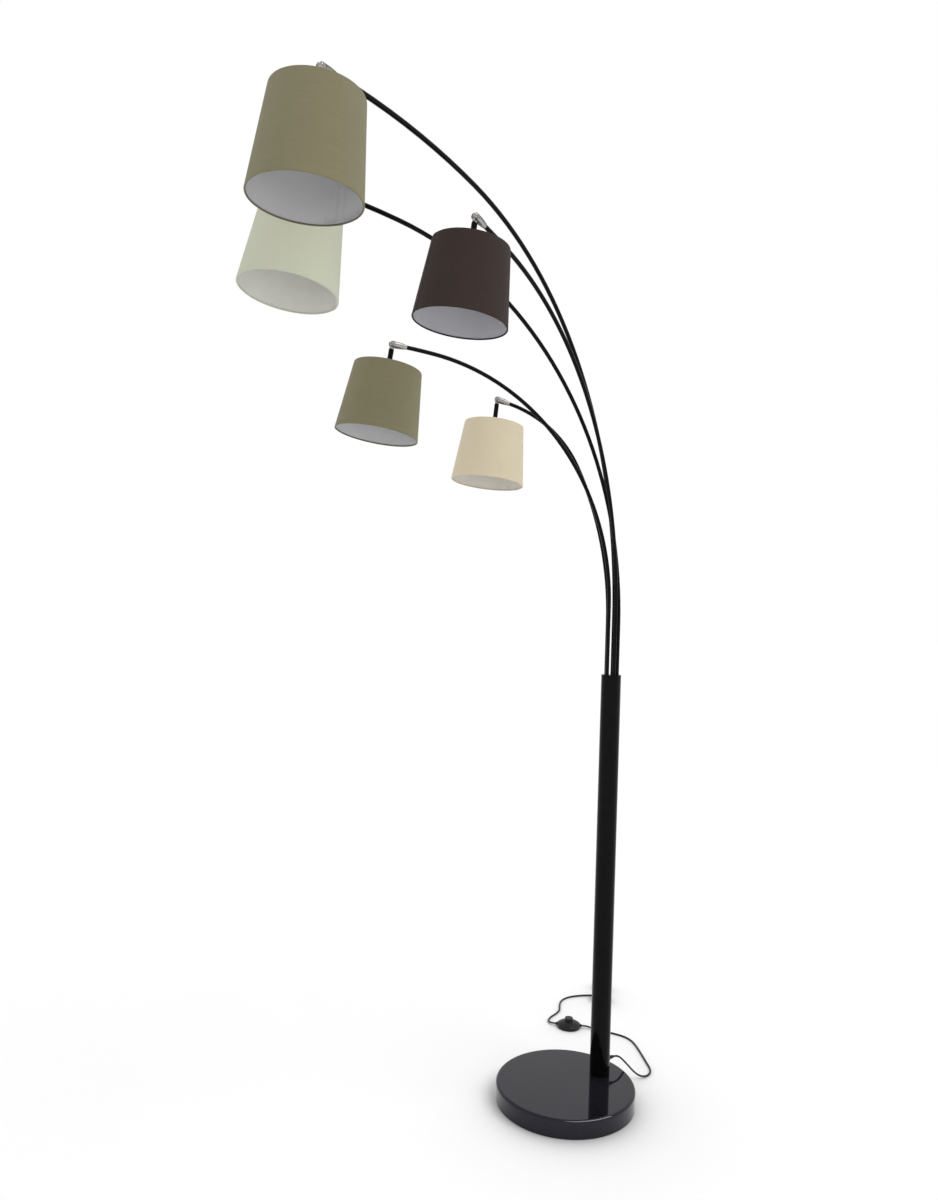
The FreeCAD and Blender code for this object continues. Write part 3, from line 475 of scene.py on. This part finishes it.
# From the gland down to the floor and on into the switch
LEAD_ROUTE = [
    (0.140, 0, 0.074), (0.149, 0, 0.074), (0.161, 0, 0.0685), (0.174, 0.0005, 0.056), (0.190, 0.0015, 0.0395),
    (0.206, 0.002, 0.0225), (0.221, 0.001, 0.010), (0.236, -0.001, 0.0038), (0.253, 0.001, 0.0023),
    (0.270, 0.012, 0.0023), (0.281, 0.029, 0.0023), (0.290, 0.052, 0.0023), (0.304, 0.086, 0.0023),
    (0.319, 0.124, 0.0023), (0.331, 0.160, 0.0023), (0.330, 0.190, 0.0023), (0.315, 0.217, 0.0023),
    (0.297, 0.240, 0.0023), (0.2815, 0.261, 0.0032), (0.266, 0.281, 0.006), (0.254, 0.290, 0.006),
]
# From the switch to the coil
TAIL_ROUTE = [
    (0.198, 0.332, 0.006), (0.1916, 0.3368, 0.006), (0.1874, 0.346, 0.0048), (0.1895, 0.3575, 0.0034),
    (0.1975, 0.3685, 0.0023), (0.211, 0.3785, 0.0023), (0.229, 0.386, 0.0023), (0.2465, 0.395, 0.0023),
    (0.261, 0.407, 0.0023), (0.272, 0.424, 0.0023), (0.286, 0.443, 0.0023), (0.303, 0.458, 0.0023),
    (0.326, 0.466, 0.0023), (0.351, 0.465, 0.0026), (0.376, 0.458, 0.00325), (0.399, 0.4485, 0.00325),
]
COIL_CENTRE = (0.414, 0.412)
COIL_START_ANGLE = 60
COIL_LAYERS = 4
COIL_TURNS_PER_LAYER = 1.486
COIL_TURN_STEP = 0.005
COIL_LAYER_STEP = 0.0052
COIL_CLIMB = 0.5  # turns in which it climbs to the next layer
COIL_MIDDLE_RADIUS = 0.0225
COIL_LOW = 0.00325
COIL_POINTS_PER_TURN = 16
# From the coil into the plug
LEAD_OUT = [(0.43225, 0.43587, 0.01885), (0.44070, 0.44692, 0.01885), (0.44371, 0.45086, 0.01885)]


def coil_point(turned_by):
    """A point of the put-away coil: it winds in and out by layers and climbs where it reverses."""
    layer = min(int(turned_by / COIL_TURNS_PER_LAYER), COIL_LAYERS - 1)
    part = turned_by - layer * COIL_TURNS_PER_LAYER
    inner = COIL_MIDDLE_RADIUS - COIL_TURN_STEP * COIL_TURNS_PER_LAYER / 2
    radius = inner + COIL_TURN_STEP * (COIL_TURNS_PER_LAYER - part if layer % 2 == 0 else part)
    height = COIL_LOW
    for reversal in range(1, COIL_LAYERS):
        climbed = (turned_by - reversal * COIL_TURNS_PER_LAYER + COIL_CLIMB / 2) / COIL_CLIMB
        height += COIL_LAYER_STEP * min(1, max(0, climbed))
    angle = math.radians(COIL_START_ANGLE - 360 * turned_by)
    return COIL_CENTRE[0] + radius * math.cos(angle), COIL_CENTRE[1] + radius * math.sin(angle), height


def add_cord(material):
    turns = COIL_TURNS_PER_LAYER * COIL_LAYERS
    steps = int(turns * COIL_POINTS_PER_TURN)
    coil = [coil_point(turns * step / steps) for step in range(steps + 1)]
    points = LEAD_ROUTE + TAIL_ROUTE + coil + LEAD_OUT
    data = bpy.data.curves.new("cord", "CURVE")
    data.dimensions = "3D"
    spline = data.splines.new("NURBS")
    spline.points.add(len(points) - 1)
    for point, place in zip(spline.points, points):
        point.co = (*place, 1.0)
    spline.order_u = CORD_ORDER
    spline.use_endpoint_u = True
    spline.resolution_u = CORD_CURVE_STEPS
    data.bevel_depth = CORD_DIAMETER / 2
    data.bevel_resolution = CORD_ROUND_STEPS
    data.materials.append(material)
    cord = bpy.data.objects.new("cord", data)
    scene.collection.objects.link(cord)
    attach(cord, "stand")
    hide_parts("cord_lead", "cord_tail", "cord_coil")


# Shades, in each lamp's own frame

SHADE_TOP = 0.003
SHADE_TOP_RADIUS = 0.072
SHADE_LOW_RADIUS = 0.088
SHADE_WALL = 0.0012
SHADE_CREASE = 60  # degrees above which an edge stays sharp
WALL_STEPS = 10
ROUND_STEPS = 144
BEAD_RADIUS = 0.0015
BEAD_WRAP = 200  # degrees that the rolled cloth goes round a rim
BEAD_STEPS = 10
SEAM_WIDTH = 0.012
SEAM_STEP = 0.0005
SEAM_INSIDE_SHARE = 0.6  # of the step, on the inside
SEAM_HALF = SEAM_WIDTH / ((SHADE_TOP_RADIUS + SHADE_LOW_RADIUS) / 2) / 2  # half its width in radians
SEAM_RISE = 0.003  # radians in which the cloth rises to the overlap
SEAM_MARGIN = 0.02  # radians beside the overlap that are kept free of even steps
ANGLE_SLACK = 1e-6
OVAL_AT_TOP = 0.3  # share of the lower rim's oval that the upper rim has
# The hem slot is a darker copy of the cloth on the turned-in rims, painted for the shade they lie in.
CLOTH, PAINTED_SHADE_HEM, LINING = range(3)


def lamp_place(head):
    """Lamp's own frame: the stem's lower end at its origin, +Z up along the stem, +Y along the hinge."""
    joint = joints[f"{head}_tilt"]
    lean, sway = math.radians(HEADS[head].lean), math.radians(HEADS[head].sway)
    up = Vector((math.tan(lean), math.tan(sway), 1)).normalized()
    hinge = Vector(joint["axis"]).normalized()
    across = hinge.cross(up).normalized()
    turn = Matrix((across, hinge, up)).transposed().to_4x4()
    return Matrix.Translation(Vector(joint["pos_m"]) - up * HEADS[head].stem) @ turn


def own_angle(place, compass):
    """A compass angle in degrees as an angle round the lamp's own axis."""
    compass = math.radians(compass)
    direction = place.to_3x3().transposed() @ Vector((math.cos(compass), math.sin(compass), 0))
    return math.atan2(direction.y, direction.x)


def shade_radius(tall, height):
    return SHADE_TOP_RADIUS + (SHADE_TOP - height) / tall * (SHADE_LOW_RADIUS - SHADE_TOP_RADIUS)


def shade_angles(seam):
    """Even steps round the shade with close steps where the cloth overlaps."""
    edge = SEAM_HALF + SEAM_RISE
    close = [-edge, -SEAM_HALF, -SEAM_HALF / 2, 0.0, SEAM_HALF / 2, SEAM_HALF, edge]
    even = [2 * math.pi * step / ROUND_STEPS for step in range(ROUND_STEPS)]
    clear = SEAM_HALF + SEAM_MARGIN
    others = [angle for angle in even if clear < angle < 2 * math.pi - clear]
    return [seam + angle for angle in close + others]


def bead(centre, start, end):
    """Points (radius, height) of the cloth rolled round a rim, from one angle in degrees to another."""
    points = []
    for step in range(BEAD_STEPS + 1):
        angle = math.radians(start + (end - start) * step / BEAD_STEPS)
        points.append((centre[0] + BEAD_RADIUS * math.cos(angle), centre[1] + BEAD_RADIUS * math.sin(angle)))
    return points


def shade_profile(tall):
    """Closed profile (radius, height) of a shade, the material of each row, and its inner wall's rows."""
    low_rim = SHADE_TOP - tall
    top_centre = (shade_radius(tall, SHADE_TOP) - BEAD_RADIUS, SHADE_TOP - BEAD_RADIUS)
    low_centre = (shade_radius(tall, low_rim) - BEAD_RADIUS, low_rim + BEAD_RADIUS)
    start, drop = SHADE_TOP - 2 * BEAD_RADIUS, tall - 4 * BEAD_RADIUS
    heights = [start - drop * step / WALL_STEPS for step in range(WALL_STEPS + 1)]
    outer = [(shade_radius(tall, height), height) for height in heights]
    low = bead(low_centre, 0, -BEAD_WRAP)
    inner = [(radius - SHADE_WALL, height) for radius, height in reversed(outer)]
    top = bead(top_centre, BEAD_WRAP, 0)
    half_bead = BEAD_STEPS // 2 + 1
    outside = [CLOTH] * (WALL_STEPS + half_bead) + [PAINTED_SHADE_HEM] * half_bead
    inside = [LINING] * WALL_STEPS + [PAINTED_SHADE_HEM] * half_bead + [CLOTH] * half_bead
    inner_start = len(outer) + len(low)
    return outer + low + inner + top, outside + inside, range(inner_start, inner_start + len(inner))


def add_turned(name, profile, angles, place, materials, row_slots, bulge):
    """Turns a closed profile about the lamp's Z; bulge(row, angle) moves a point out. UVs are in metres."""
    count, rows = len(angles), len(profile)
    reach = [0.0]
    for (r0, z0), (r1, z1) in zip(profile, profile[1:] + profile[:1]):
        reach.append(reach[-1] + math.hypot(r1 - r0, z1 - z0))
    verts = []
    for row, (radius, height) in enumerate(profile):
        for angle in angles:
            wide = radius + bulge(row, angle)
            verts.append(place @ Vector((wide * math.cos(angle), wide * math.sin(angle), height)))
    faces, uvs = [], []
    middle = sum(radius for radius, _ in profile) / rows
    ends = angles[1:] + [angles[0] + 2 * math.pi]
    for row in range(rows):
        here, after = row * count, (row + 1) % rows * count
        low, high = reach[row], reach[row + 1]
        for turn in range(count):
            following = (turn + 1) % count
            faces.append((here + turn, here + following, after + following, after + turn))
            u0, u1 = angles[turn] * middle, ends[turn] * middle
            uvs.append(((u0, low), (u1, low), (u1, high), (u0, high)))
    mesh = bpy.data.meshes.new(name)
    mesh.from_pydata(verts, [], faces)
    for material in materials:
        mesh.materials.append(material)
    layer = mesh.uv_layers.new(name="UVMap")
    for polygon in mesh.polygons:
        polygon.use_smooth = True
        polygon.material_index = row_slots[polygon.index // count]
        for loop, uv in zip(polygon.loop_indices, uvs[polygon.index]):
            layer.data[loop].uv = uv
    mesh.set_sharp_from_angle(angle=math.radians(SHADE_CREASE))
    thing = bpy.data.objects.new(name, mesh)
    scene.collection.objects.link(thing)
    return thing


def add_shade(head, cloth, painted_shade_hem, lining):
    """One shade of cloth: overlap seam, both rims rolled in with the turned-in cloth painted darker as shade,
    lining inside.
    """
    place = lamp_place(head)
    tall, oval = HEADS[head].tall, HEADS[head].oval
    seam = own_angle(place, HEADS[head].seam)
    long_angle = own_angle(place, HEADS[head].oval_axis)
    profile, row_slots, inner_rows = shade_profile(tall)

    def bulge(row, angle):
        radius, height = profile[row]
        depth = min(1.0, max(0.0, (SHADE_TOP - height) / tall))
        uneven = OVAL_AT_TOP + (1 - OVAL_AT_TOP) * depth
        out = radius * oval * uneven * math.cos(2 * (angle - long_angle))
        from_seam = abs((angle - seam + math.pi) % (2 * math.pi) - math.pi)
        if from_seam <= SEAM_HALF + ANGLE_SLACK:
            out += -SEAM_STEP * SEAM_INSIDE_SHARE if row in inner_rows else SEAM_STEP
        return out

    shade = add_turned(
        f"{head}_shade_cloth", profile, shade_angles(seam), place, [cloth, painted_shade_hem, lining], row_slots, bulge,
    )
    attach(shade, head)
    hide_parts(f"{head}_shade")


# Floor, world and lamps

FLOOR_SIZE = 60
FLOOR_PAINTED_SHADOW_TONES = (rgb(0, 0, 0), rgb(0.88, 0.88, 0.88))
FLOOR_ROUGHNESS = 0.9
FLOOR_LIFT = 0.09
FLOOR_GLOSS_LIFT = 0.28
# Painted shadow: ambient occlusion darkens the floor's colour towards black near what stands on it.
PAINTED_SHADOW_REACH = 0.27
PAINTED_SHADOW_SOFTNESS = 0.6
PAINTED_SHADOW_SAMPLES = 16
PAINTED_SHADOW_OPEN_SIDE = {"X": 0.245, "Y": 0.452, "Z": 0.857}  # the painted shadow is deepest where this side is blocked
WHITE = rgb(1, 1, 1)
WORLD_LEVELS = (0.80, 1.0)  # as light on the object, and as the backdrop
KEY_ENERGY = 1.0
KEY_SPREAD = 40
KEY_HEADING = Vector((-0.35, 0.47, -0.81))
STRIP_SIZE = (1.6, 0.6)
STRIP_ENERGY = 32
STRIP_SIDE = Vector((0.14, -0.57, 0.81))
STRIP_DISTANCE = 1.5


def backdrop_rays(tree, path):
    """1 for rays that show the pale backdrop: from the camera, off gloss and through glass; otherwise 0."""
    seen = math_node(tree, "MAXIMUM", path.outputs["Is Camera Ray"], path.outputs["Is Glossy Ray"])
    return math_node(tree, "MAXIMUM", seen, path.outputs["Is Transmission Ray"])


def add_floor():
    """Pale floor with a painted soft shadow round what stands on it: ambient occlusion darkens its colour and
    its lift.
    """
    bpy.ops.mesh.primitive_plane_add(size=FLOOR_SIZE)
    floor = bpy.context.object
    floor.name = "floor"
    material, tree, shader = new_material("floor")
    tilted = node(tree, "ShaderNodeCombineXYZ", **PAINTED_SHADOW_OPEN_SIDE)
    painted_shadow_ao = node(
        tree, "ShaderNodeAmbientOcclusion", {"samples": PAINTED_SHADOW_SAMPLES},
        Distance=PAINTED_SHADOW_REACH, Normal=tilted.outputs[0],
    )
    painted_shadow_fade = math_node(tree, "POWER", painted_shadow_ao.outputs["AO"], PAINTED_SHADOW_SOFTNESS)
    feed(
        tree, shader,
        Base_Color=mix_colour(tree, painted_shadow_fade, *FLOOR_PAINTED_SHADOW_TONES),
        Roughness=FLOOR_ROUGHNESS,
        Specular_IOR_Level=0.0,
    )
    path = node(tree, "ShaderNodeLightPath")
    # The painted shadow also dims the floor's lift.
    lifted = math_node(tree, "MULTIPLY", scaled(tree, backdrop_rays(tree, path), FLOOR_LIFT), painted_shadow_fade)
    mirrored = scaled(tree, path.outputs["Is Glossy Ray"], FLOOR_GLOSS_LIFT)
    lift = node(tree, "ShaderNodeEmission", Color=WHITE, Strength=summed(tree, lifted, mirrored))
    show(tree, node(tree, "ShaderNodeAddShader", _0=shader.outputs[0], _1=lift.outputs[0]))
    floor.data.materials.append(material)


def add_world():
    world = bpy.data.worlds.new("world")
    scene.world = world
    world.use_nodes = True
    tree = world.node_tree
    seen = backdrop_rays(tree, node(tree, "ShaderNodeLightPath"))
    feed(tree, tree.nodes["Background"], Color=WHITE, Strength=ramp(tree, seen, UNIT, WORLD_LEVELS))


def add_lamp(name, kind, energy, heading):
    """Adds a lamp that shines along a heading."""
    data = bpy.data.lights.new(name, kind)
    data.energy = energy
    lamp = bpy.data.objects.new(name, data)
    lamp.rotation_euler = heading.to_track_quat("-Z", "Y").to_euler()
    scene.collection.objects.link(lamp)
    return lamp


def add_light():
    """A wide soft key, and a strip that only gives the base's rounded edge its highlight."""
    key = add_lamp("key", "SUN", KEY_ENERGY, KEY_HEADING)
    key.data.angle = math.radians(KEY_SPREAD)
    strip = add_lamp("strip", "AREA", STRIP_ENERGY, -STRIP_SIDE)
    strip.data.shape = "RECTANGLE"
    strip.data.size, strip.data.size_y = STRIP_SIZE
    strip.location = STRIP_SIDE * STRIP_DISTANCE
    strip.visible_diffuse = False
    strip.visible_camera = False
    lit = bpy.data.collections.new("edge_lit")
    lit.objects.link(nodes["base_disc"])
    strip.light_linking.receiver_collection = lit


add_camera()
scene.view_settings.view_transform = "Standard"

lacquer = black_lacquer()
nickel = brushed_nickel()
plastic = moulded(
    "black_plastic", rgb(0.005, 0.005, 0.0055), rgb(0.010, 0.010, 0.010), roughness=0.30, shine=0.22,
)
cord_skin = moulded(
    "cord_skin", rgb(0.008, 0.007, 0.007), rgb(0.015, 0.013, 0.012), roughness=0.42, grain=1600.0, shine=0.25,
)
holder_plastic = moulded("holder_plastic", rgb(0.02, 0.02, 0.02), rgb(0.035, 0.035, 0.035), roughness=0.45)
wire_paint = moulded("wire_paint", rgb(0.78, 0.78, 0.76), rgb(0.70, 0.70, 0.68), roughness=0.35)
glass = opal_glass()
linings = {
    "olive": liner("white_lining", rgb(0.575, 0.575, 0.585), translucent=0.06),
    # Painted shade: a darker copy of the white lining, for the light that the brown cloth holds back.
    "brown": liner("painted_shade_lining", rgb(0.475, 0.470, 0.505), translucent=0.02),
    "cream": liner("cream_lining", rgb(0.80, 0.80, 0.75), translucent=0.15),
    "beige": liner("beige_lining", rgb(0.82, 0.79, 0.715), translucent=0.15),
}
cloths = {
    "olive": linen("linen_olive", rgb(0.262, 0.240, 0.142), rgb(0.195, 0.178, 0.100), translucent=0.06),
    "cream": linen("linen_cream", rgb(0.70, 0.72, 0.57), rgb(0.62, 0.64, 0.50), translucent=0.12),
    "brown": linen(
        "linen_brown", rgb(0.046, 0.031, 0.027), rgb(0.029, 0.0195, 0.017), translucent=0.0, sheen=0.01,
    ),
    "beige": linen("linen_beige", rgb(0.81, 0.71, 0.515), rgb(0.73, 0.64, 0.455), translucent=0.05),
}
# Painted shade: each hem is a darker copy of its cloth, standing in for the shade on the cloth turned in at
# the rims.
painted_shade_hems = {
    "olive": linen("painted_shade_hem_olive", rgb(0.140, 0.124, 0.085), rgb(0.096, 0.085, 0.058), translucent=0.0),
    "cream": linen("painted_shade_hem_cream", rgb(0.60, 0.60, 0.47), rgb(0.50, 0.50, 0.39), translucent=0.0),
    "brown": linen(
        "painted_shade_hem_brown", rgb(0.018, 0.014, 0.015), rgb(0.012, 0.009, 0.010), translucent=0.0, sheen=0.0,
    ),
    "beige": linen("painted_shade_hem_beige", rgb(0.62, 0.54, 0.40), rgb(0.53, 0.45, 0.32), translucent=0.0),
}

add_cord(cord_skin)
for head, details in HEADS.items():
    add_shade(head, cloths[details.cloth], painted_shade_hems[details.cloth], linings[details.cloth])
    dress(stem_finish(head), f"{head}_stem")
    dress(holder_plastic, f"{head}_lampholder")
    dress(wire_paint, f"{head}_shade_carrier")
    dress(glass, f"{head}_bulb")
for arm in ARMS:
    dress(lacquer, f"{arm}_tube")
    dress(nickel, f"{arm}_elbow", f"{arm}_pivot_screw")
dress(polished_stone(), "base_disc")
dress(felt(), "base_pad")
dress(steel(), "base_bolt", "base_washer", "plug_pins", "pole_foot")
dress(lacquer, "pole", "arm_holder")
dress(plastic, "cord_gland", "switch_base", "switch_cover", "switch_button", "plug_body", "coil_tie")
dress(holder_plastic, "arm_guide", "terminal_block")

add_floor()
add_world()
add_light()
